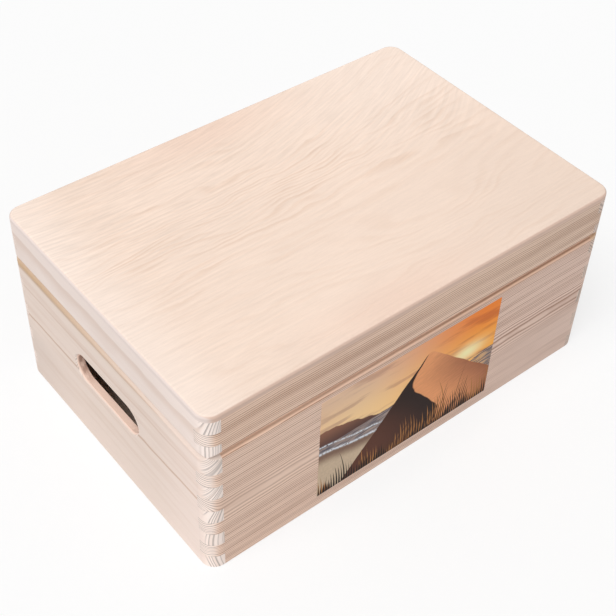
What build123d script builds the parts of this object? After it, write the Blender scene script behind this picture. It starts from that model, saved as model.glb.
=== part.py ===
from build123d import *
import os
from math import radians, sqrt, tan

# Hinged photo and keepsake box: four finger-jointed pine boards on a plywood bottom, and a lid
# made of four pine rails under a plywood panel. A V-groove marks the line where the lid parts
# from the body, and two small butt hinges lie in that groove at the back.
# Sizes are in millimetres. The origin is the centre of the underside, +X points to the right
# end, +Y to the back and +Z up.

# Case
length = 300.0
width = 200.0
height = 130.0
rim = 98.0  # height of the line where the lid parts from the body
board = 10.0  # thickness of the pine boards and rails
corner_radius = 9.0  # rounding of the four upright corners
finger = 10.5  # height of one finger of the body's corner joints
lid_fingers = 3  # odd: equal fingers up the corners of the lid rails
edge_ease = 0.4  # sanded edge round the foot and the rim of the body
groove = 2.8  # depth of the 90 degree V-groove at the rim line

# Plywood panels
lid_panel_thickness = 4.0
lid_panel_round = 2.0  # round-over of the lid panel's upper edge
bottom_thickness = 4.0
rebate = 5.0  # how far the bottom panel reaches under the boards
rebate_radius = 6.0  # corner rounding that the router leaves in the rebate
bottom_fit = 0.1  # gap round the bottom panel

# Hand hole in each end
hole_length = 65.0
hole_height = 20.5
hole_below_rim = 37.0  # from the rim down to the centre of the hole
hole_ease = 1.2  # bevel that takes the sharpness off the hole's outer edge
relief_reach = 14.0  # how far the finger relief on the inner face goes past the hole
relief_depth = 4.8  # of the finger relief, which leaves a thin lip round the hole

# Picture on the front board
picture_left = 76.0  # margin to the left end
picture_right = 87.0  # margin to the right end
picture_bottom = 8.8  # margin to the foot
picture_top = 3.7  # margin to the lower lip of the groove
picture_film = 0.15  # thickness of the printed film

# Butt hinges
hinge_length = 25.0
hinge_inset = 55.0  # from each end of the case to the middle of its hinge
knuckles = 3  # odd: the box leaf has the outer ones
leaf_thickness = 0.9
leaf_margin = 1.2  # wood left between the leaf and the inner face of the board
pin_radius = 0.85
pin_clearance = 0.05  # between the pin and the lid leaf's knuckles
knuckle_gap = 0.2  # between neighbouring knuckles, and round them in the wood
mortise_fit = 0.1  # gap at the ends and the inner edge of a leaf
lid_opening = 100.0  # degrees from closed to fully open
stop_allowance = 2.0  # degrees left between the bevels of the groove when the lid is open

# Hinge screws
screws_per_leaf = 2
screw_pitch = 13.0
screw_head_radius = 1.7
screw_shank_radius = 0.9
screw_length = 9.0

# Sizes that follow
rails_top = height - lid_panel_thickness
lid_finger = (rails_top - rim) / lid_fingers
# Each corner joint is the height of one finger and the heights where the fingers of the long boards
# start. They take turns with those of the end boards, which own the first and the last.
body_joint = finger, [level * finger for level in range(1, int(rim // finger), 2)]
lid_joint = lid_finger, [rim + level * lid_finger for level in range(1, lid_fingers, 2)]
knuckle_radius = pin_radius + pin_clearance + leaf_thickness
knuckle_pitch = hinge_length / knuckles
# With the pin this far outside the bottom of the groove, the bevels meet just past lid_opening.
pin_outset = groove * (1 - 1 / tan(radians((lid_opening + stop_allowance) / 2)))
pin_y = width / 2 - groove + pin_outset
leaf_width = pin_y - (width / 2 - board + leaf_margin)
hinge_x = length / 2 - hinge_inset
LEFT, RIGHT = -1, 1
FRONT, BACK = -1, 1
STANDING = (Align.CENTER, Align.CENTER, Align.MIN)


def case_outline(inset=0.0, radius=corner_radius):
    """Rounded rectangle of the case in plan, drawn inwards by an inset."""
    return RectangleRounded(length - 2 * inset, width - 2 * inset, radius)


def case_block(bottom, top):
    """Outer shape of the case between two heights."""
    return extrude(Pos(0, 0, bottom) * case_outline(), top - bottom)


def groove_bars():
    """Square bars laid on edge along the four faces. They cut the V-groove, which runs out on
    the rounded corners because the bars are straight."""
    side = groove * sqrt(2)
    long_bar = Rot(45, 0, 0) * Box(length, side, side)
    end_bar = Rot(0, 45, 0) * Box(side, width, side)
    bars = [Pos(0, side_y * width / 2, rim) * long_bar for side_y in (FRONT, BACK)]
    bars += [Pos(side_x * length / 2, 0, rim) * end_bar for side_x in (LEFT, RIGHT)]
    return bars


def corner_fingers(side_y, joint):
    """Fingers of the front or back piece at both of its corners."""
    finger_height, starts = joint
    block = Box(board, board, finger_height, align=STANDING)
    centre_x, centre_y = (length - board) / 2, (width - board) / 2
    return [
        Pos(side_x * centre_x, side_y * centre_y, start) * block
        for start in starts
        for side_x in (LEFT, RIGHT)
    ]


def long_board(side_y, bottom, top, joint):
    """Front or back piece: it fills the room between the end pieces and has fingers past it."""
    between = Box(length - 2 * board, board, top - bottom, align=STANDING)
    return Pos(0, side_y * (width - board) / 2, bottom) * between + corner_fingers(side_y, joint)


def end_board(side_x, bottom, top, joint, hand_hole=False):
    """Piece at one end, with slots for the fingers of the front and back pieces."""
    raw = Pos(0, 0, bottom) * Box(board, width, top - bottom, align=STANDING)
    if hand_hole:
        raw = cut_hand_hole(raw, side_x)
    raw = Pos(side_x * (length - board) / 2, 0, 0) * raw
    return raw - corner_fingers(FRONT, joint) - corner_fingers(BACK, joint)


def cut_hand_hole(raw, side_x):
    """Cuts the hand hole through an end board, bevels its outer edge, and routs a relief for the
    fingers round it on the inner face."""
    centre = Plane.YZ * Pos(0, rim - hole_below_rim)
    hole = centre * SlotOverall(hole_length, hole_height)
    relief = centre * SlotOverall(hole_length + 2 * relief_reach, hole_height + 2 * relief_reach)
    pocket = extrude(relief, relief_depth / 2, both=True)
    drilled = raw - extrude(hole, board, both=True)
    faces = drilled.faces().filter_by(Axis.X).sort_by(Axis.X)
    outer_face = faces[0] if side_x == LEFT else faces[-1]
    eased = chamfer(outer_face.inner_wires()[0].edges(), hole_ease)
    return eased - Pos(side_x * (relief_depth - board) / 2, 0, 0) * pocket


def bottom_rebate():
    """Space routed out of the foot of the boards for the bottom panel."""
    return extrude(case_outline(board - rebate, rebate_radius), bottom_thickness)


def bottom_panel():
    """Plywood bottom, flush with the foot and glued up into the rebate."""
    outline = case_outline(board - rebate + bottom_fit, rebate_radius - bottom_fit)
    return extrude(outline, bottom_thickness)


def lid_panel():
    """Plywood top of the lid, flush with the rails all round."""
    block = case_block(rails_top, height)
    return fillet(block.edges().group_by(Axis.Z)[-1], lid_panel_round)


def picture_print():
    """Printed film on the front board, between the foot and the groove."""
    picture_length = length - picture_left - picture_right
    picture_height = rim - groove - picture_top - picture_bottom
    centre_x = (picture_left - picture_right) / 2
    centre_y = -(width + picture_film) / 2
    centre_z = picture_bottom + picture_height / 2
    return Pos(centre_x, centre_y, centre_z) * Box(picture_length, picture_film, picture_height)


def bar_along_x(radius, reach, centre=0.0):
    """Round bar along X through the hinge's own origin."""
    return Pos(centre, 0, 0) * Rot(0, 90, 0) * Cylinder(radius, reach)


def hinge_mortise():
    """Room for a closed hinge: half of it is cut from the board and half from the lid rail."""
    mortise_length = hinge_length + 2 * mortise_fit
    mortise_width = leaf_width + mortise_fit
    knuckle_room = 2 * (knuckle_radius + knuckle_gap)
    pocket = Pos(0, -mortise_width / 2, 0) * Box(mortise_length, mortise_width, 2 * knuckle_radius)
    return pocket + Box(mortise_length, knuckle_room, knuckle_room)


def screw_seats(side_z):
    """Places of a leaf's screws, on the face that the screw heads are flush with."""
    face_z = side_z * (knuckle_radius - leaf_thickness)
    centre_y = -(leaf_width + knuckle_radius + knuckle_gap) / 2
    turn = Rot(180, 0, 0) if side_z > 0 else Rot(0, 0, 0)
    first = -(screws_per_leaf - 1) / 2
    return [
        Pos((first + n) * screw_pitch, centre_y, face_z) * turn for n in range(screws_per_leaf)
    ]


def screw_shank():
    """Shank of a screw that points down, with the face of its head at the origin."""
    shank_length = screw_length - leaf_thickness
    return Pos(0, 0, -leaf_thickness - shank_length / 2) * Cylinder(screw_shank_radius, shank_length)


def screw_head():
    """Countersunk head, as deep as the leaf is thick."""
    return Pos(0, 0, -leaf_thickness / 2) * Cone(screw_shank_radius, screw_head_radius, leaf_thickness)


def hinge_screws(side_z):
    """The screws of one leaf, as a group."""
    return Compound(children=[seat * (screw_head() + screw_shank()) for seat in screw_seats(side_z)])


def hinge_leaf(side_z):
    """One leaf with its knuckles, closed. Side -1 is screwed to the box and +1 to the lid."""
    leaf_z = side_z * (knuckle_radius - leaf_thickness / 2)
    root = knuckle_radius + knuckle_gap
    leaf = Pos(0, -(leaf_width + root) / 2, leaf_z) * Box(hinge_length, leaf_width - root, leaf_thickness)
    first = 0 if side_z < 0 else 1
    for n in range(first, knuckles, 2):
        centre = (n + 0.5) * knuckle_pitch - hinge_length / 2
        left_gap = 0 if n == 0 else knuckle_gap / 2
        right_gap = 0 if n == knuckles - 1 else knuckle_gap / 2
        reach = knuckle_pitch - left_gap - right_gap
        centre += (left_gap - right_gap) / 2
        leaf += bar_along_x(knuckle_radius, reach, centre)
        leaf += Pos(centre, -root / 2, leaf_z) * Box(reach, root, leaf_thickness)
    bore = pin_radius if side_z < 0 else pin_radius + pin_clearance
    leaf -= bar_along_x(bore, hinge_length)
    return leaf - [seat * screw_head() for seat in screw_seats(side_z)]


def hinge_places():
    """Name and place of each hinge: the pin's middle, on the rim line at the back."""
    return [
        ("left_hinge", Pos(-hinge_x, pin_y, rim)),
        ("right_hinge", Pos(hinge_x, pin_y, rim)),
    ]


def fitted_for_hinges(piece, side_z):
    """Cuts the mortises and the screw holes of both hinges from a back board or rail."""
    for _, place in hinge_places():
        piece -= place * hinge_mortise()
        piece -= [place * seat * screw_shank() for seat in screw_seats(side_z)]
    return piece


def body_pieces():
    """Boards of the body, cut to the outer shape, the groove and the bottom rebate."""
    block = case_block(0, rim)
    foot_and_rim = block.edges().group_by(Axis.Z)
    block = chamfer(foot_and_rim[0] + foot_and_rim[-1], edge_ease)
    block -= groove_bars() + [bottom_rebate()]
    return {
        "front_board": long_board(FRONT, 0, rim, body_joint) & block,
        "back_board": fitted_for_hinges(long_board(BACK, 0, rim, body_joint) & block, -1),
        "left_end_board": end_board(LEFT, 0, rim, body_joint, hand_hole=True) & block,
        "right_end_board": end_board(RIGHT, 0, rim, body_joint, hand_hole=True) & block,
        "bottom_panel": bottom_panel(),
        "picture_print": picture_print(),
    }


def lid_pieces():
    """Rails of the lid, cut to the outer shape and the groove, and the panel over them."""
    block = case_block(rim, rails_top) - groove_bars()
    return {
        "lid_front_rail": long_board(FRONT, rim, rails_top, lid_joint) & block,
        "lid_back_rail": fitted_for_hinges(long_board(BACK, rim, rails_top, lid_joint) & block, 1),
        "lid_left_rail": end_board(LEFT, rim, rails_top, lid_joint) & block,
        "lid_right_rail": end_board(RIGHT, rim, rails_top, lid_joint) & block,
        "lid_panel": lid_panel(),
    }


def hinge_pieces():
    """Leaves, pins and screws of both hinges."""
    pieces = {}
    for name, place in hinge_places():
        pieces[f"{name}_box_leaf"] = place * hinge_leaf(-1)
        pieces[f"{name}_lid_leaf"] = place * hinge_leaf(1)
        pieces[f"{name}_pin"] = place * bar_along_x(pin_radius, hinge_length)
        pieces[f"{name}_box_screws"] = place * hinge_screws(-1)
        pieces[f"{name}_lid_screws"] = place * hinge_screws(1)
    return pieces


os.makedirs("parts", exist_ok=True)
for node, shape in {**body_pieces(), **lid_pieces(), **hinge_pieces()}.items():
    export_step(shape, f"parts/{node}.step")
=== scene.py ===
from math import cos, radians, sin

import bpy
from mathutils import Matrix, Vector


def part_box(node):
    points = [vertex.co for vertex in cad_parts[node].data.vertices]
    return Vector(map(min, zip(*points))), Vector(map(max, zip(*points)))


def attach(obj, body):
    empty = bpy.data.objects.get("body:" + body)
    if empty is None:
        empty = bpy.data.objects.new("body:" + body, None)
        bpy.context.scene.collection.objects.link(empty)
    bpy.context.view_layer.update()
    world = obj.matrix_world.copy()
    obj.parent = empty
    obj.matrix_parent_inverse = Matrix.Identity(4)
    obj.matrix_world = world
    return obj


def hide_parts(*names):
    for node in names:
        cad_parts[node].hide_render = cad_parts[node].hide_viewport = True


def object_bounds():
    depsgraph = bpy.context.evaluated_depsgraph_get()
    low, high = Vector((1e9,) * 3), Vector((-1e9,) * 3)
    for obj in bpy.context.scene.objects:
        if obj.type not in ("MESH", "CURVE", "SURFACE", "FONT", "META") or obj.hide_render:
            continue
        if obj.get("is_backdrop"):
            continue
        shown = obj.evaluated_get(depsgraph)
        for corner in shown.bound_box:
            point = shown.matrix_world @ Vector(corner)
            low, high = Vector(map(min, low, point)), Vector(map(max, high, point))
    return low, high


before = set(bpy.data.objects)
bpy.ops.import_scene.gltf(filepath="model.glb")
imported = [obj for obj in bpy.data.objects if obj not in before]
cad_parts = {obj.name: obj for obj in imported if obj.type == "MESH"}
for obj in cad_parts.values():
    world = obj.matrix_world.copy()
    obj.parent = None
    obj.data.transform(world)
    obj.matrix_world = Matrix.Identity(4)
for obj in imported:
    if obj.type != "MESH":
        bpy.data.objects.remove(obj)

cad_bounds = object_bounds()


# ---- Body boards ---------------------------------------------------------------------------
# Four pine boards, planed and sanded but not oiled, finger-jointed and glued at the corners.
# Each was sawn from another place in a log, so each has its own heart and ring width.

MM = 1000.0  # in a metre


class Signal:
    """A shader socket in a Python sum. Every operator adds one Math node to its tree."""

    def __init__(self, look, socket):
        self.look = look
        self.socket = socket

    def math(self, operation, *values):
        return self.look.node("Math", {"operation": operation}, dict(enumerate(values)))

    def __add__(self, other):
        return self.math("ADD", self, other)

    def __sub__(self, other):
        return self.math("SUBTRACT", self, other)

    def __rsub__(self, other):
        return self.math("SUBTRACT", other, self)

    def __mul__(self, other):
        return self.math("MULTIPLY", self, other)

    def __truediv__(self, other):
        return self.math("DIVIDE", self, other)

    __radd__ = __add__
    __rmul__ = __mul__

    def size(self):
        return self.math("ABSOLUTE", self)

    def root(self):
        return self.math("SQRT", self)

    def fraction(self):
        return self.math("FRACT", self)

    def whole(self):
        return self.math("FLOOR", self)

    def wave(self):
        return self.math("SINE", self)

    def most(self, other):
        return self.math("MAXIMUM", self, other)

    def rise(self, low, high):
        """0 below low, 1 above high and a smooth step between them."""
        settings = {"interpolation_type": "SMOOTHSTEP"}
        inputs = {"Value": self, "From Min": low, "From Max": high}
        return self.look.node("MapRange", settings, inputs)

    def bell(self, centre, reach):
        """A smooth hill that is 1 at the centre and has all but died out at twice its reach."""
        off = (self - centre) / reach
        return self.math("EXPONENT", off * off * -1.0)


class Look:
    """The node tree of a material or a world, and the few ways in which nodes are added to it."""

    def __init__(self, owner):
        self.owner = owner
        owner.use_nodes = True
        self.tree = owner.node_tree
        self.tree.nodes.clear()

    def node(self, kind, settings, inputs, output=0):
        """Adds a node: first its settings, then the values or signals of its sockets."""
        made = self.tree.nodes.new("ShaderNode" + kind)
        for setting, value in settings.items():
            setattr(made, setting, value)
        for socket, value in inputs.items():
            if isinstance(value, Signal):
                self.tree.links.new(value.socket, made.inputs[socket])
            else:
                made.inputs[socket].default_value = value
        return Signal(self, made.outputs[output]) if made.outputs else None

    def split(self, vector):
        """The three numbers of a vector."""
        return [self.node("SeparateXYZ", {}, {0: vector}, output) for output in range(3)]

    def place(self):
        """Where a point lies on the box, in millimetres."""
        point = self.node("TexCoord", {}, {}, "Object")
        return self.split(self.node("VectorMath", {"operation": "SCALE"}, {0: point, "Scale": MM}))

    def facing(self):
        """How far the surface faces along each axis, from 0 to 1."""
        return [part.size() for part in self.split(self.node("TexCoord", {}, {}, "Normal"))]

    def noise(self, x, y, z, detail=2.0):
        """Smooth noise from 0 to 1 at a point given in lengths of that noise."""
        point = self.node("CombineXYZ", {}, {0: x, 1: y, 2: z})
        return self.node("TexNoise", {}, {"Vector": point, "Scale": 1.0, "Detail": detail})

    def mix(self, factor, first, second, blend="MIX"):
        """Blends two colours: the first at factor 0, the second at factor 1."""
        settings = {"data_type": "RGBA", "blend_type": blend}
        return self.node("Mix", settings, {0: factor, 6: first, 7: second}, 2)

    def shade(self, tint, amount):
        """Makes a colour lighter or darker without changing its hue."""
        return self.node("VectorMath", {"operation": "SCALE"}, {0: tint, "Scale": amount})

    def finish(self, tint, roughness, relief, depth, **constants):
        """Joins colour, roughness and a relief of a given depth in millimetres into a surface."""
        bump = self.node("Bump", {}, {"Strength": 1.0, "Distance": depth / MM, "Height": relief})
        inputs = {"Base Color": tint, "Roughness": roughness, "Normal": bump, **constants}
        surface = self.node("BsdfPrincipled", {}, inputs)
        self.node("OutputMaterial", {}, {"Surface": surface})
        return self.owner


def colour(red, green, blue):
    """Linear colour of the 0 to 255 values that a screen shows."""
    return [((part / 255 + 0.055) / 1.055) ** 2.4 for part in (red, green, blue)] + [1.0]


# Sizes of the case, in millimetres.
HALF_LENGTH, HALF_WIDTH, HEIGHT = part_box("lid_panel")[1] * MM
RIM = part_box("front_board")[1].z * MM
RAILS_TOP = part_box("lid_front_rail")[1].z * MM
CORNER = 9.0  # rounding of the upright corners
BOARD = 10.0  # thickness of the boards
FINGER = 10.5  # height of one finger of the joints
GROOVE = 2.8  # depth of the V-groove along the rim
HOLE_LENGTH, HOLE_HEIGHT, HOLE_BELOW_RIM = 65.0, 20.5, 37.0  # the last to the hole's middle
GLUE_LINE = 0.02  # half the width of a glue line, in fingers
END_GRAIN = colour(248, 234, 226)
# painted warm light on the shaded wall of the hand hole
HOLE_WALL_PAINTED_LIGHT = colour(243, 211, 193)
BURNT = colour(150, 104, 82)


def inset_of(x, y):
    """How far a point near the outer faces lies inside the rounded outline of the case."""
    past_x = (x.size() - (HALF_LENGTH - CORNER)).most(0.0)
    past_y = (y.size() - (HALF_WIDTH - CORNER)).most(0.0)
    return CORNER - (past_x * past_x + past_y * past_y).root()


def growth_rings(look, along, across, z, heart, ring, lean, seed):
    """Distance from the heart of the log, years of growth there, and how bold each year is.
    The rings are cylinders round the heart, which lies at a given place across the grain and
    at a given height, and may climb or fall along the grain."""
    wander = look.noise(along / 120, seed, 0.5) - 0.5
    sway = look.noise(along / 30, across / 16 + seed, z / 16) - 0.5
    level = z - heart[1] + wander * 5 + along * lean
    offset = across - heart[0]
    distance = (offset * offset + level * level).root() + sway * 1.4
    years = distance / ring + look.noise(distance / 11, seed, 2.5) * 2.2
    bold = look.noise(years.whole() * 0.73, seed, 4.5, 0.0).rise(0.25, 0.70) * 0.6 + 0.4
    return distance, years, bold


def glued(x, y, z, seams):
    """1 on the glue lines between the fingers, which lie in the corners only."""
    datum, finger, low, high = seams
    off_line = ((z - datum) / finger).fraction() - 0.5
    near_corner = (x.size() - (HALF_LENGTH - BOARD)).rise(-0.05, 0.05)
    near_corner = near_corner * (y.size() - (HALF_WIDTH - BOARD)).rise(-0.05, 0.05)
    line = off_line.size().rise(0.5 - GLUE_LINE, 0.5) * near_corner
    return line * z.rise(low - 1, low) * (1 - z.rise(high, high + 1))


def shade_and_scorch_groove(look, tint, along, inset, z, groove_shade_and_scorch):
    """Painted shade with a little scorch, deep in the groove and on the face just below it."""
    to_far = along.rise(-90.0, 90.0)
    near, far = groove_shade_and_scorch["deep_shade_and_burn"]
    in_groove = inset.rise(0.15, 0.5) * (1 - inset.rise(GROOVE + 0.2, GROOVE + 0.5))
    in_groove = in_groove * (1 - (z - RIM).size().rise(GROOVE, GROOVE + 0.3))
    deep_shade_and_burn = inset.rise(0.4, 1.4) * (1 - inset.rise(1.4, 2.3)) * (to_far * (far - near) + near)
    tint = look.mix(in_groove, tint, look.mix(deep_shade_and_burn, groove_shade_and_scorch["lip"], groove_shade_and_scorch["deep"]))
    near, far = groove_shade_and_scorch["edge_shade_and_singe"]
    edge_shade_and_singe = z.bell(RIM - GROOVE, groove_shade_and_scorch["reach"]) * (to_far * (far - near) + near)
    return look.mix(edge_shade_and_singe, tint, groove_shade_and_scorch["edge"])


def light_and_burn_hand_hole(look, tint, x, y, z, inset):
    """Painted light on the shaded wall of the hand hole, and the router's burn where it turned."""
    off_middle = (z - (RIM - HOLE_BELOW_RIM)).size()
    in_hole = 1 - off_middle.rise(HOLE_HEIGHT / 2, HOLE_HEIGHT / 2 + 1)
    in_hole = in_hole * (1 - y.size().rise(HOLE_LENGTH / 2, HOLE_LENGTH / 2 + 1))
    tint = look.mix(in_hole * inset.rise(0.2, 1.0), tint, HOLE_WALL_PAINTED_LIGHT)
    turning = y.size().rise(18.0, 31.0) * look.noise(x / 3, y / 5, z / 4, 3.0).rise(0.35, 0.60)
    return look.mix(in_hole * inset.rise(0.8, 2.6) * turning * 0.6, tint, BURNT)


def pine(name, grain, heart, ring, pale, late, seed, seams, groove_shade_and_scorch, painted_falloff, crowd=1.0, lean=0.0,
         ends=END_GRAIN):
    """Sanded pine. Its rings are one volume through the board, so faces and end grain agree. A
    flat-sawn board shows only one ring in a crowd on its face, and all of them at its ends."""
    look = Look(bpy.data.materials.new(name))
    x, y, z = look.place()
    facing = dict(zip("XYZ", look.facing()))
    along, across = (x, y) if grain == "X" else (y, x)
    inset = inset_of(x, y)

    # Pale early wood darkens slowly into a thin line of late wood.
    distance, years, bold = growth_rings(look, along, across, z, heart, ring, lean, seed)
    turn = years.fraction()
    late_wood = 0.65 / (0.6 + 0.4 * crowd)
    line = turn.rise(1 - late_wood, 0.86) * (1 - turn.rise(0.91, 1.0)) * bold

    # The lines are fainter round the heart at the near end, low down at the far end, and on
    # the flat rims.
    line = line * (distance.rise(5.0, 16.0).most(along.rise(-80.0, 60.0)) * 0.6 + 0.4)
    faint = along.rise(30.0, 90.0) * (1 - z.rise(32.0, 52.0))
    line = line * (1 - faint * 0.8) * (1 - facing["Z"].rise(0.75, 0.95) * 0.75)

    # Fibres and the wide soft stains that follow them.
    fibre = look.noise(along / 9, across * 2.4, z * 2.4, 4.0)
    stain = look.noise(along / 110, across / 7 + seed, z / 6, 3.0)
    tint = look.mix(line, pale, late)
    tint = look.mix(stain.rise(0.46, 0.74) * 0.30, tint, late)
    tint = look.shade(tint, 0.93 + fibre * 0.14 - faint * 0.10)

    # Across its ends the wood is paler and greyer, with fine dark rings.
    end_turn = (years * crowd).fraction()
    end_line = end_turn.rise(0.40, 0.80) * (1 - end_turn.rise(0.86, 1.0)) * (bold * 0.5 + 0.5)
    end_tint = look.shade(look.mix(0.7, tint, ends), 1.02 - end_line * 0.52)
    tint = look.mix(facing[grain].rise(0.20, 0.70), tint, end_tint)

    # Painted shade: each board is darker towards its far end, where less light reaches it, and
    # the rounded upright corners carry a painted highlight and are paler.
    falloff_shade, falloff_from, falloff_to = painted_falloff
    tint = look.mix(along.rise(falloff_from, falloff_to), tint, falloff_shade, "MULTIPLY")
    # Painted highlight: the rounded upright corners are paler where they turn towards the light.
    tint = look.shade(tint, 1 + facing["X"] * facing["Y"] * 0.2)

    # Dark glue lines, painted shade in the groove with a little scorch, and painted light on the
    # wall of the hand hole with the router's burn.
    tint = look.shade(tint, 1 - glued(x, y, z, seams) * 0.22)
    tint = shade_and_scorch_groove(look, tint, along, inset, z, groove_shade_and_scorch)
    tint = light_and_burn_hand_hole(look, tint, x, y, z, inset)

    roughness = 0.62 + fibre * 0.16 - line * 0.06
    return look.finish(tint, roughness, fibre * 0.7 + line * 0.3, 0.05)


def dress(node, material):
    """Gives a node its finish."""
    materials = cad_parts[node].data.materials
    materials.clear()
    materials.append(material)


# Where the fingers are counted from, the height of one, and the lowest and highest glue line.
BODY_SEAMS = (0.0, FINGER, FINGER, 8 * FINGER)
FRONT_PALE, FRONT_LATE = colour(241, 212, 193), colour(162, 117, 91)
END_PALE, END_LATE = colour(243, 224, 214), colour(216, 185, 166)
# Painted shade: the end grain at the right end is darker, where less light reaches it.
RIGHT_ENDS_PAINTED_SHADE = colour(204, 180, 164)
# Colours of the groove at its lip and deep down, and of the edge below it, which carries
# painted shade as far as its reach. The groove's colours are painted light and shade with a
# little scorch: the deep band stands for the shade of the lid's overhang and the parting gap.
# How strong the deep shade and the edge's shade are is given at the near and at the far end.
LONG_GROOVE_SHADE_AND_SCORCH = {
    "lip": colour(250, 215, 191), "deep": colour(172, 131, 105), "deep_shade_and_burn": (0.6, 1.0),
    "edge": colour(176, 128, 94), "edge_shade_and_singe": (0.1, 0.4), "reach": 0.75,
}
LEFT_GROOVE_SHADE_AND_SCORCH = {
    "lip": colour(230, 213, 203), "deep": colour(224, 202, 184), "deep_shade_and_burn": (0.0, 1.0),
    "edge": colour(191, 161, 129), "edge_shade_and_singe": (0.1, 1.0), "reach": 2.3,
}
RIGHT_GROOVE_SHADE_AND_SCORCH = {
    "lip": colour(226, 196, 168), "deep": colour(190, 142, 104), "deep_shade_and_burn": (0.6, 0.6),
    "edge": colour(205, 172, 138), "edge_shade_and_singe": (0.4, 0.4), "reach": 1.4,
}
# Painted shade: what the colour of each board is multiplied by towards its far end, where
# less light reaches it, and from where to where.
FRONT_PAINTED_FALLOFF = [0.91, 0.92, 0.96, 1.0], -120.0, 150.0
END_PAINTED_FALLOFF = [0.85, 0.85, 0.83, 1.0], -115.0, -30.0

dress("front_board", pine(
    "front_board_pine", "X", heart=(-92.0, 50.0), ring=1.5, pale=FRONT_PALE, late=FRONT_LATE,
    seed=1.0, seams=BODY_SEAMS, groove_shade_and_scorch=LONG_GROOVE_SHADE_AND_SCORCH, painted_falloff=FRONT_PAINTED_FALLOFF))
dress("back_board", pine(
    "back_board_pine", "X", heart=(90.5, 38.0), ring=1.6, pale=FRONT_PALE, late=FRONT_LATE,
    seed=5.0, seams=BODY_SEAMS, groove_shade_and_scorch=LONG_GROOVE_SHADE_AND_SCORCH, painted_falloff=FRONT_PAINTED_FALLOFF))
dress("left_end_board", pine(
    "left_end_board_pine", "Y", heart=(-60.0, 20.0), ring=11.0, pale=END_PALE, late=END_LATE,
    seed=9.0, seams=BODY_SEAMS, groove_shade_and_scorch=LEFT_GROOVE_SHADE_AND_SCORCH, painted_falloff=END_PAINTED_FALLOFF, crowd=7.0, lean=0.02))
dress("right_end_board", pine(
    "right_end_board_pine", "Y", heart=(104.0, 60.0), ring=6.0, pale=END_PALE, late=END_LATE,
    seed=13.0, seams=BODY_SEAMS, groove_shade_and_scorch=RIGHT_GROOVE_SHADE_AND_SCORCH, painted_falloff=END_PAINTED_FALLOFF, crowd=4.0, lean=-0.08,
    ends=RIGHT_ENDS_PAINTED_SHADE))


# ---- Lid rails -----------------------------------------------------------------------------
# Four low pine rails, jointed at the corners like the boards under them and glued to the panel.
# They were ripped from other stock than the boards, and the rings of the long ones are closer.

LID_FINGER = (RAILS_TOP - RIM) / 3
LID_SEAMS = (RIM, LID_FINGER, RIM + LID_FINGER, RAILS_TOP - LID_FINGER)
LID_PALE, LID_LATE = colour(241, 210, 188), colour(151, 105, 77)
LID_END_PALE, LID_END_LATE = colour(245, 229, 221), colour(232, 211, 199)
# Painted shade towards the far ends of the rails, as on the boards.
LID_PAINTED_FALLOFF = [0.92, 0.95, 0.96, 1.0], -120.0, 150.0
LID_END_PAINTED_FALLOFF = [0.89, 0.89, 0.89, 1.0], -115.0, -30.0

dress("lid_front_rail", pine(
    "lid_front_rail_pine", "X", heart=(-86.0, 62.0), ring=1.5, pale=LID_PALE, late=LID_LATE,
    seed=21.0, seams=LID_SEAMS, groove_shade_and_scorch=LONG_GROOVE_SHADE_AND_SCORCH, painted_falloff=LID_PAINTED_FALLOFF))
dress("lid_back_rail", pine(
    "lid_back_rail_pine", "X", heart=(84.0, 150.0), ring=1.5, pale=LID_PALE, late=FRONT_LATE,
    seed=25.0, seams=LID_SEAMS, groove_shade_and_scorch=LONG_GROOVE_SHADE_AND_SCORCH, painted_falloff=LID_PAINTED_FALLOFF))
dress("lid_left_rail", pine(
    "lid_left_rail_pine", "Y", heart=(-60.0, 100.0), ring=4.6, pale=LID_END_PALE,
    late=LID_END_LATE, seed=29.0, seams=LID_SEAMS, groove_shade_and_scorch=LEFT_GROOVE_SHADE_AND_SCORCH, painted_falloff=LID_END_PAINTED_FALLOFF,
    crowd=3.0))
dress("lid_right_rail", pine(
    "lid_right_rail_pine", "Y", heart=(110.0, 85.0), ring=4.4, pale=LID_END_PALE,
    late=LID_END_LATE, seed=33.0, seams=LID_SEAMS, groove_shade_and_scorch=RIGHT_GROOVE_SHADE_AND_SCORCH, painted_falloff=LID_END_PAINTED_FALLOFF,
    crowd=3.0, ends=RIGHT_ENDS_PAINTED_SHADE))


# ---- Plywood panels ------------------------------------------------------------------------
# The lid's panel and the bottom are birch plywood, faced with rotary-cut veneer. The knife
# peels the log nearly along its rings, so the figure is wide arches and long flames.

BIRCH_PALE, BIRCH_LATE = colour(243, 220, 203), colour(224, 192, 168)
BIRCH_CLEAN, BIRCH_WARM = colour(251, 234, 222), colour(237, 205, 186)
BIRCH_END, BIRCH_SIDE = colour(230, 214, 207), colour(217, 187, 170)
PLY = 1.3  # thickness of one ply


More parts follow.
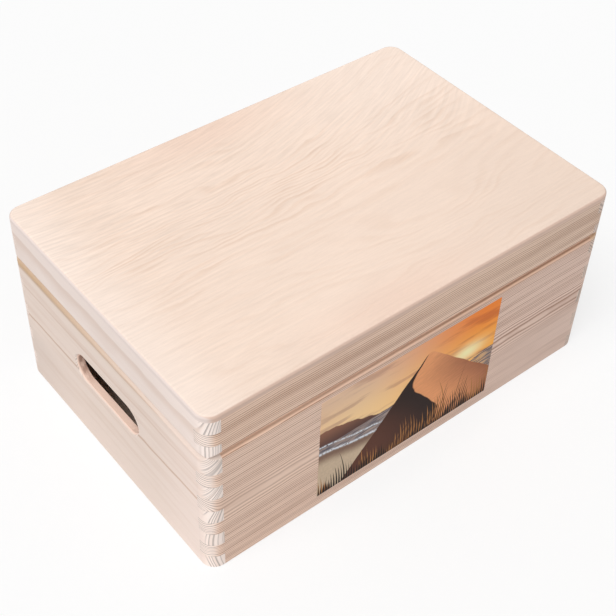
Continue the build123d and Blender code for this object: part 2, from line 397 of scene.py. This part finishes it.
def birch_figure(look, x, y, arches, crowding, sweep, seed):
    """How dark the late wood is on rotary-cut veneer. The figure is the contour lines of a
    gentle hilly height. Each arch is a hill, given by its centre, its reach and its rings. The
    crowding is a band of extra rings: its middle, half its width and how many. The sweep turns
    the figure towards the back on the right."""
    drift_x = x + (look.noise(x / 70, y / 30, seed) - 0.5) * 40
    drift_y = y + (look.noise(x / 60, y / 26, seed + 3) - 0.5) * 22
    shiver = look.noise(x / 7, y / 3, seed + 5, 3.0) - 0.5
    level = drift_y / 5.5 + shiver * 0.3
    middle, spread, rings = crowding
    level = level + (drift_y - middle).rise(-spread, spread) * rings
    level = level - (drift_x.most(0.0) * (drift_y + 20).rise(0.0, 70.0)) * sweep
    for centre_x, centre_y, reach_x, reach_y, rings in arches:
        level = level + drift_x.bell(centre_x, reach_x) * drift_y.bell(centre_y, reach_y) * rings
    turn = level.fraction()
    bold = look.noise(level.whole() * 0.61, x / 50, y / 40 + seed, 2.0).rise(0.35, 0.75)
    clear = drift_y.bell(middle, spread * 1.3) * 0.75 + 0.5
    return turn.rise(0.15, 0.75) * (1 - turn.rise(0.78, 1.0)) * (bold * 0.48 + 0.06) * clear


def birch_plywood(name, low_face, arches, crowding, sweep, seed):
    """Birch plywood whose lower face lies at a given height."""
    look = Look(bpy.data.materials.new(name))
    x, y, z = look.place()
    line = birch_figure(look, x, y, arches, crowding, sweep, seed)
    tint = look.mix(line, BIRCH_PALE, BIRCH_LATE)

    # Fine strokes run along the grain, and swing with the figure. They are bolder towards the
    # left and the back.
    swung = x * (x + 180) * y.rise(-60.0, 60.0) * (sweep * 0.024)
    stroke = look.noise(x / 24, (y - swung) / 1.7, seed + 9, 3.0) - 0.5
    stroke = stroke * (0.22 - x.rise(-120.0, 20.0) * 0.10 + y.rise(-30.0, 50.0) * 0.18)

    # The sheet is cleanest at the back right and at the left end and warm at the middle of its
    # long sides; the front right is darker with painted shade, where less light reaches it.
    pore = look.noise(x / 3.5, y * 2.6, z * 2.6, 3.0)
    cloud = look.noise(x / 70, y / 45, seed + 7, 2.0)
    clean = x.rise(-20.0, 120.0) * y.rise(-20.0, 80.0) * 0.4 + (1 - x.rise(-150.0, -110.0)) * 0.6
    tint = look.mix(clean, tint, BIRCH_CLEAN)
    warm = x.bell(-15.0, 55.0) * y.size().rise(65.0, 92.0)
    tint = look.mix(warm * 0.55, tint, BIRCH_WARM)
    front_right_painted_shade = x.rise(-20.0, 140.0) * (1 - y.rise(-90.0, 30.0))
    tint = look.shade(tint, 0.905 + pore * 0.12 + cloud * 0.10 + stroke - front_right_painted_shade * 0.08)

    # On the edges the plies show: the middle one crosses the others and is a little darker.
    facing_x, _, facing_z = look.facing()
    ply = (z - low_face) / PLY
    core = ply.rise(0.9, 1.1) * (1 - ply.rise(1.9, 2.1))
    streak = look.noise(x / 2.5, y / 2.5, z * 3.0, 3.0)
    ply_edge_and_painted_shade = look.mix(facing_x.rise(0.3, 0.7), BIRCH_SIDE, BIRCH_END)
    ply_edge_and_painted_shade = look.shade(ply_edge_and_painted_shade, 0.94 + streak * 0.12 - core * 0.05)
    # The edge colour reaches up over the rounded edge as painted shade, which tones down its light.
    tint = look.mix(1 - facing_z.rise(0.70, 0.99), tint, ply_edge_and_painted_shade)

    return look.finish(tint, 0.52 + pore * 0.16, pore * 0.8 + line * 0.2, 0.03)


# Centre along and across the sheet, reach along and across it, and rings of each arch.
LID_ARCHES = [
    (48.0, -54.0, 74.0, 26.0, 6.0),
    (-72.0, -80.0, 78.0, 9.0, 3.5),
    (-10.0, 62.0, 90.0, 30.0, 2.5),
]
dress("lid_panel", birch_plywood(
    "lid_panel_birch", RAILS_TOP, LID_ARCHES, crowding=(22.0, 26.0, 5.0), sweep=0.045, seed=2.0))

BOTTOM_ARCHES = [(-40.0, 20.0, 80.0, 34.0, 7.0)]
dress("bottom_panel", birch_plywood(
    "bottom_panel_birch", 0.0, BOTTOM_ARCHES, crowding=(-50.0, 20.0, 4.0), sweep=0.0, seed=11.0))


# ---- Picture -------------------------------------------------------------------------------
# A thin satin print on the front board. Its design is a high sand dune by the sea at sunset,
# dark on its lee side and warm on the side of the low sun, with grass in front of it.

# Places in the print are shares of its width (across) and of its height (up).
HORIZON = 0.52
SUN_ACROSS, SUN_UP = 0.83, 0.61
GRASS_ROWS = (  # blades across the picture, height, bend, tone and seed of each row
    (62.0, 0.95, 1.3, colour(170, 116, 66), 2.0),
    (80.0, 0.80, -1.2, colour(92, 58, 34), 12.0),
    (70.0, 0.62, 1.8, colour(24, 14, 10), 22.0),
)
picture_low, picture_high = (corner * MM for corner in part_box("picture_print"))


def sunset_sky(look, across, up):
    """Pale at the left and glowing at the right, with long clouds and a low sun."""
    warm = across.rise(0.15, 0.95)
    low_sky = look.mix(warm, colour(255, 216, 160), colour(255, 176, 74))
    high_sky = look.mix(warm, colour(232, 196, 166), colour(244, 138, 56))
    sky = look.mix(up.rise(0.55, 1.0), low_sky, high_sky)
    cloud = look.noise(across * 3 + up * 2, up * 13, 3.0, 5.0).rise(0.50, 0.66) * 0.6
    sky = look.mix(cloud, sky, look.mix(warm, colour(188, 146, 126), colour(196, 92, 48)))
    glow = across.bell(SUN_ACROSS, 0.10) * up.bell(SUN_UP, 0.08)
    return look.mix(glow, sky, colour(255, 244, 190))


def evening_sea(look, across, up):
    """Grey ripples with the sun's path on them."""
    ripple = look.noise(across * 12, up * 70, 1.0, 3.0)
    sea = look.mix(ripple.rise(0.35, 0.65), colour(96, 92, 102), colour(172, 152, 142))
    path = across.bell(SUN_ACROSS, 0.12) * ripple.rise(0.40, 0.58)
    return look.mix(path, sea, colour(255, 192, 108))


def add_headland(look, tint, across, up, ragged):
    """A far headland at the left, paler towards its top."""
    ridge = HORIZON + (1 - across.rise(0.02, 0.40)) * 0.17 + ragged * 0.07
    haze = look.mix((up - 0.5).rise(0.0, 0.2), colour(88, 60, 54), colour(142, 98, 78))
    land = (ridge - up).rise(0.0, 0.01) * up.rise(HORIZON - 0.005, HORIZON + 0.002)
    return look.mix(land, tint, haze)


def add_shore(look, tint, across, up, grain):
    """Dry sand that is wet and dark by the water, and the foam of two waves."""
    shore = 0.45 - across * 0.36 + (look.noise(across * 4, 9.0, 0.0, 3.0) - 0.5) * 0.08
    sand = look.mix((shore - up).rise(0.02, 0.14), colour(132, 104, 88), colour(206, 184, 158))
    sand = look.shade(sand, 0.80 + grain * 0.36)
    tint = look.mix((shore - up).rise(-0.006, 0.006), tint, sand)
    foam = (up - shore).bell(0.012, 0.012) + (up - shore).bell(0.085, 0.008)
    return look.mix(foam * grain.rise(0.34, 0.50), tint, colour(226, 232, 240))


def add_dune(look, tint, across, up, grain):
    """A steep lee side, a long windward side, and a sharp crest that winds down between them."""
    lee = (across - 0.12) * 1.85
    windward = 0.90 - (across - 0.58) * 1.45
    drift = look.noise(across * 5, up * 4, 4.0, 2.0) - 0.5
    top = look.node("Math", {"operation": "SMOOTH_MIN"}, {0: lee, 1: windward, 2: 0.16})
    top = top + drift * 0.05
    past_crest = across - 0.60 - (up * 6.6 + 0.6).wave() * 0.09 + drift * 0.06
    wind = look.noise(across * 16 + up * 8, up * 60 - across * 24, 5.0, 2.0)
    lit = look.mix(past_crest.rise(0.0, 0.42), colour(236, 162, 112), colour(150, 92, 66))
    lit = look.shade(lit, 0.80 + wind * 0.36)
    dark = look.mix((0 - past_crest).rise(0.0, 0.40), colour(34, 17, 13), colour(92, 54, 40))
    dark = look.shade(dark, 0.88 + grain * 0.24)
    slope = look.mix(past_crest.rise(-0.004, 0.004), dark, lit)
    return look.mix((top - up).rise(0.0, 0.006), tint, slope)


def add_grass(look, tint, across, up, ragged):
    """Rows of blades, bent by the wind and each lower and darker than the one behind it."""
    for blades, height, bend, tone, seed in GRASS_ROWS:
        patch = look.noise(across * 3.4, seed, 0.0, 2.0).rise(0.42, 0.62)
        stem = across * blades + up * up * bend * 12 + ragged * 0.8
        tall = look.noise(stem.whole() * 0.83, seed, 8.0, 0.0) * 1.1
        tip = 1 - up / (tall * patch * height + 0.001)
        blade = (tip * 0.42 - (stem.fraction() - 0.5).size()).rise(0.0, 0.10)
        tint = look.mix(blade, tint, tone)
    return tint


def dune_picture():
    """The printed picture, painted from the sky at the back to the grass in front."""
    look = Look(bpy.data.materials.new("dune_picture"))
    x, _, z = look.place()
    across = (x - picture_low.x) / (picture_high.x - picture_low.x)
    up = (z - picture_low.z) / (picture_high.z - picture_low.z)
    ragged = look.noise(across * 14, 7.0, 0.0, 5.0) - 0.5
    grain = look.noise(across * 90, up * 55, 2.0, 4.0)

    over_horizon = up.rise(HORIZON - 0.002, HORIZON + 0.004)
    tint = look.mix(over_horizon, evening_sea(look, across, up), sunset_sky(look, across, up))
    tint = add_headland(look, tint, across, up, ragged)
    tint = add_shore(look, tint, across, up, grain)
    tint = add_dune(look, tint, across, up, grain)
    tint = add_grass(look, tint, across, up, ragged)
    return look.finish(tint, 0.55 + grain * 0.05, grain, 0.004, **{"Specular IOR Level": 0.12})


dress("picture_print", dune_picture())


# ---- Hinges --------------------------------------------------------------------------------
# Small zinc-plated butt hinges, stamped and rolled from steel strip, one near each end of the
# back. Their leaves lie in mortises, and the pin is a plain piece of wire.

DULLED_ZINC = colour(196, 192, 184)


def plated_steel(name, tone, grain_length):
    """Zinc plate over rolled steel: faint brush lines and a slightly cloudy shine."""
    look = Look(bpy.data.materials.new(name))
    x, y, z = look.place()
    brushed = look.noise(x / grain_length, y * 6, z * 6, 3.0)
    cloudy = look.noise(x / 4, y / 4, z / 4, 2.0)
    tint = look.shade(look.mix(cloudy, tone, DULLED_ZINC), 0.88 + brushed * 0.2)
    return look.finish(tint, 0.26 + brushed * 0.16 + cloudy * 0.1, brushed, 0.01, Metallic=1.0)


leaf_steel = plated_steel("leaf_steel", colour(214, 212, 206), 3.0)
pin_steel = plated_steel("pin_steel", colour(198, 197, 194), 8.0)
for side in ("left", "right"):
    dress(f"{side}_hinge_box_leaf", leaf_steel)
    dress(f"{side}_hinge_lid_leaf", leaf_steel)
    dress(f"{side}_hinge_pin", pin_steel)


# ---- Hinge screws --------------------------------------------------------------------------
# Countersunk wood screws with a cross recess and a coarse thread. The two of each leaf are
# driven through it into the board or the lid rail.

# Sizes in millimetres.
SCREW_CORE = 0.62  # radius under the thread
THREAD_PITCH = 1.1
THREAD_HEIGHT = 0.26
RECESS_WIDTH = 0.5
RECESS_DEPTH = 0.6
HEAD_DEPTH = 0.9
ROUND_SIDES = 28  # flat sides of the head and the core
TURN_STEPS = 18  # straight steps in one turn of the thread
THREAD_SIDES = 3  # the thread is a triangle in section


class Recipe:
    """A Geometry Nodes tree with named inputs."""

    def __init__(self, name, sizes):
        self.tree = bpy.data.node_groups.new(name, "GeometryNodeTree")
        ports = self.tree.interface
        ports.new_socket("Geometry", in_out="INPUT", socket_type="NodeSocketGeometry")
        for size in sizes:
            ports.new_socket(size, in_out="INPUT", socket_type="NodeSocketFloat")
        ports.new_socket("Finish", in_out="INPUT", socket_type="NodeSocketMaterial")
        ports.new_socket("Geometry", in_out="OUTPUT", socket_type="NodeSocketGeometry")
        self.inputs = self.tree.nodes.new("NodeGroupInput").outputs

    def node(self, kind, settings, inputs):
        """Adds a node: first its settings, then the values or sockets of its inputs."""
        made = self.tree.nodes.new(kind)
        for setting, value in settings.items():
            setattr(made, setting, value)
        for socket, value in inputs.items():
            for one in value if isinstance(value, list) else [value]:
                if isinstance(one, bpy.types.NodeSocket):
                    self.tree.links.new(one, made.inputs[socket])
                else:
                    made.inputs[socket].default_value = one
        return made.outputs[0] if made.outputs else None

    def maths(self, operation, first, second):
        """One sum on two sizes."""
        return self.node("ShaderNodeMath", {"operation": operation}, {0: first, 1: second})

    def apply(self, places, name, sizes, finish):
        """Runs the tree on a mesh of places and returns the result as a plain mesh object."""
        carrier = bpy.data.objects.new(name + "_places", places)
        bpy.context.scene.collection.objects.link(carrier)
        modifier = carrier.modifiers.new("recipe", "NODES")
        modifier.node_group = self.tree
        values = {**sizes, "Finish": finish}
        for item in self.tree.interface.items_tree:
            if item.in_out == "INPUT" and item.name in values:
                modifier[item.identifier] = values[item.name]
        evaluated = carrier.evaluated_get(bpy.context.evaluated_depsgraph_get())
        made = bpy.data.objects.new(name, bpy.data.meshes.new_from_object(evaluated))
        bpy.context.scene.collection.objects.link(made)
        bpy.data.objects.remove(carrier)
        return made


def screw_recipe():
    """One screw, pointing down with the face of its head at the origin, on every place."""
    sizes = ["Head Radius", "Head Depth", "Core Radius", "Length", "Pitch", "Thread Height",
             "Recess Width", "Recess Depth", "Turn"]
    recipe = Recipe("hinge_screw", sizes)
    node, maths, given = recipe.node, recipe.maths, recipe.inputs

    def lowered(mesh, depth):
        down = node("ShaderNodeCombineXYZ", {}, {"Z": maths("MULTIPLY", depth, -1.0)})
        return node("GeometryNodeTransform", {}, {"Geometry": mesh, "Translation": down})

    def cone(low_radius, high_radius, depth, bottom_depth):
        made = node("GeometryNodeMeshCone", {}, {
            "Vertices": ROUND_SIDES, "Radius Bottom": low_radius, "Radius Top": high_radius,
            "Depth": depth,
        })
        return lowered(made, bottom_depth)

    crest = maths("ADD", given["Core Radius"], given["Thread Height"])
    head = cone(crest, given["Head Radius"], given["Head Depth"], given["Head Depth"])
    arm_length = maths("MULTIPLY", given["Head Radius"], 1.15)
    arm_depth = maths("MULTIPLY", given["Recess Depth"], 2.0)
    arm_size = node("ShaderNodeCombineXYZ", {}, {
        "X": arm_length, "Y": given["Recess Width"], "Z": arm_depth})
    cross_size = node("ShaderNodeCombineXYZ", {}, {
        "X": given["Recess Width"], "Y": arm_length, "Z": arm_depth})
    arms = [node("GeometryNodeMeshCube", {}, {"Size": size}) for size in (arm_size, cross_size)]
    head = node("GeometryNodeMeshBoolean", {"operation": "DIFFERENCE"}, {
        "Mesh 1": head, "Mesh 2": arms})

    body_length = maths("SUBTRACT", given["Length"], given["Head Depth"])
    point_length = maths("MULTIPLY", given["Pitch"], 2.0)
    core = cone(given["Core Radius"], given["Core Radius"],
                maths("SUBTRACT", body_length, point_length),
                maths("SUBTRACT", given["Length"], point_length))
    point = cone(maths("MULTIPLY", given["Core Radius"], 0.1), given["Core Radius"],
                 point_length, given["Length"])

    thread_length = maths("SUBTRACT", body_length, maths("MULTIPLY", point_length, 0.5))
    helix = node("GeometryNodeCurveSpiral", {}, {
        "Resolution": TURN_STEPS, "Rotations": maths("DIVIDE", thread_length, given["Pitch"]),
        "Start Radius": maths("MULTIPLY", given["Core Radius"], 0.45),
        "End Radius": given["Core Radius"], "Height": thread_length,
    })
    profile = node("GeometryNodeCurvePrimitiveCircle", {}, {
        "Resolution": THREAD_SIDES, "Radius": given["Thread Height"]})
    thread = node("GeometryNodeCurveToMesh", {}, {
        "Curve": helix, "Profile Curve": profile, "Fill Caps": True})
    thread_end = maths("SUBTRACT", given["Length"], maths("MULTIPLY", point_length, 0.4))
    thread = lowered(thread, thread_end)

    whole = node("GeometryNodeJoinGeometry", {}, {"Geometry": [head, core, point, thread]})
    turn = node("ShaderNodeCombineXYZ", {}, {"X": given["Turn"]})
    screws = node("GeometryNodeInstanceOnPoints", {}, {
        "Points": given["Geometry"], "Instance": whole, "Rotation": turn})
    screws = node("GeometryNodeRealizeInstances", {}, {"Geometry": screws})
    screws = node("GeometryNodeSetMaterial", {}, {"Geometry": screws, "Material": given["Finish"]})
    node("NodeGroupOutput", {}, {"Geometry": screws})
    return recipe


screws = screw_recipe()
screw_steel = plated_steel("screw_steel", colour(205, 205, 202), 0.8)
for body, heads_up in (("box", True), ("lid", False)):
    nodes = [f"{side}_hinge_{body}_screws" for side in ("left", "right")]
    places = []
    for node in nodes:
        low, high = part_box(node)
        head_radius = (high.y - low.y) / 2
        head_z = high.z if heads_up else low.z
        for place_x in (low.x + head_radius, high.x - head_radius):
            places.append((place_x, low.y + head_radius, head_z))
    mesh = bpy.data.meshes.new(f"{body}_hinge_screw_places")
    mesh.from_pydata(places, [], [])
    sizes = {
        "Head Radius": head_radius, "Head Depth": HEAD_DEPTH / MM,
        "Core Radius": SCREW_CORE / MM, "Length": high.z - low.z, "Pitch": THREAD_PITCH / MM,
        "Thread Height": THREAD_HEIGHT / MM, "Recess Width": RECESS_WIDTH / MM,
        "Recess Depth": RECESS_DEPTH / MM, "Turn": 0.0 if heads_up else radians(180),
    }
    piece = screws.apply(mesh, f"{body}_hinge_screws", sizes, screw_steel)
    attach(piece, body)
    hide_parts(*nodes)


# ---- Floor, light and camera ---------------------------------------------------------------
# A pale studio table that reads as white, a wide soft lamp from above and the left, and a
# long lens from the front left, held a little tilted.

FLOOR_REACH = 3.0  # from the middle, in metres
WHITE = (1.0, 1.0, 1.0, 1.0)
TABLE_TONE = colour(243, 243, 243)
WHITENED = 0.7  # how far the table is lifted towards white for the camera alone

floor_mesh = bpy.data.meshes.new("table_top")
corner_signs = ((-1, -1), (1, -1), (1, 1), (-1, 1))
corners = [(x * FLOOR_REACH, y * FLOOR_REACH, 0.0) for x, y in corner_signs]
floor_mesh.from_pydata(corners, [], [(0, 1, 2, 3)])
floor = bpy.data.objects.new("table_top", floor_mesh)
bpy.context.scene.collection.objects.link(floor)
floor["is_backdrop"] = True


def seen_directly(look):
    """1 for rays from the camera, from a mirror or through glass."""
    rays = [look.node("LightPath", {}, {}, ray) for ray in
            ("Is Camera Ray", "Is Glossy Ray", "Is Transmission Ray")]
    return rays[0].most(rays[1]).most(rays[2])


def table_top():
    """A matt pale table, which keeps the shadow of the box."""
    look = Look(bpy.data.materials.new("table_top"))
    matt = look.node("BsdfDiffuse", {}, {"Color": TABLE_TONE})
    white = look.node("Emission", {}, {"Color": WHITE, "Strength": 1.0})
    seen = seen_directly(look) * WHITENED
    surface = look.node("MixShader", {}, {0: seen, 1: matt, 2: white})
    look.node("OutputMaterial", {}, {"Surface": surface})
    return look.owner


floor_mesh.materials.append(table_top())

SKY_STRENGTH = 0.42


def studio_sky():
    """An even pale surround that the camera sees as white."""
    look = Look(bpy.data.worlds.new("studio"))
    strength = seen_directly(look) * (1.0 - SKY_STRENGTH) + SKY_STRENGTH
    sky = look.node("Background", {}, {"Color": WHITE, "Strength": strength})
    look.node("OutputWorld", {}, {"Surface": sky})
    return look.owner


bpy.context.scene.world = studio_sky()

LAMP_TOWARDS = Vector((-0.46, -0.13, 0.88))
LAMP_STRENGTH = 2.1
LAMP_SPREAD = radians(35.0)

lamp = bpy.data.objects.new("key_lamp", bpy.data.lights.new("key_lamp", "SUN"))
lamp.data.energy = LAMP_STRENGTH
lamp.data.angle = LAMP_SPREAD
lamp.rotation_euler = LAMP_TOWARDS.to_track_quat("Z", "Y").to_euler()
bpy.context.scene.collection.objects.link(lamp)

AZIMUTH, ELEVATION, ROLL = radians(-40.363), radians(44.653), radians(2.365)
DISTANCE = 0.7617  # from the middle of the box, in metres
SLIDE_RIGHT, SLIDE_UP = 0.00195, 0.01707  # the box stands a little off the middle of the view
LENS = 71.15

level_right = Vector((cos(AZIMUTH), sin(AZIMUTH), 0.0))
level_back = Vector((-sin(AZIMUTH), cos(AZIMUTH), 0.0))
towards_lens = Vector((0.0, 0.0, sin(ELEVATION))) - level_back * cos(ELEVATION)
level_up = towards_lens.cross(level_right)
right = level_right * cos(ROLL) + level_up * sin(ROLL)
up = level_up * cos(ROLL) - level_right * sin(ROLL)
middle = Vector((0.0, 0.0, HEIGHT / MM / 2))

camera = bpy.data.objects.new("camera", bpy.data.cameras.new("camera"))
camera.data.lens = LENS
camera.data.clip_start = 0.01
place = middle + towards_lens * DISTANCE - right * SLIDE_RIGHT - up * SLIDE_UP
turned = Matrix((right, up, towards_lens)).transposed().to_4x4()
camera.matrix_world = Matrix.Translation(place) @ turned
bpy.context.scene.collection.objects.link(camera)
bpy.context.scene.camera = camera
bpy.context.scene.view_settings.view_transform = "Standard"

sizes = {"cad": [list(corner) for corner in cad_bounds], "visual": [list(corner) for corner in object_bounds()]}
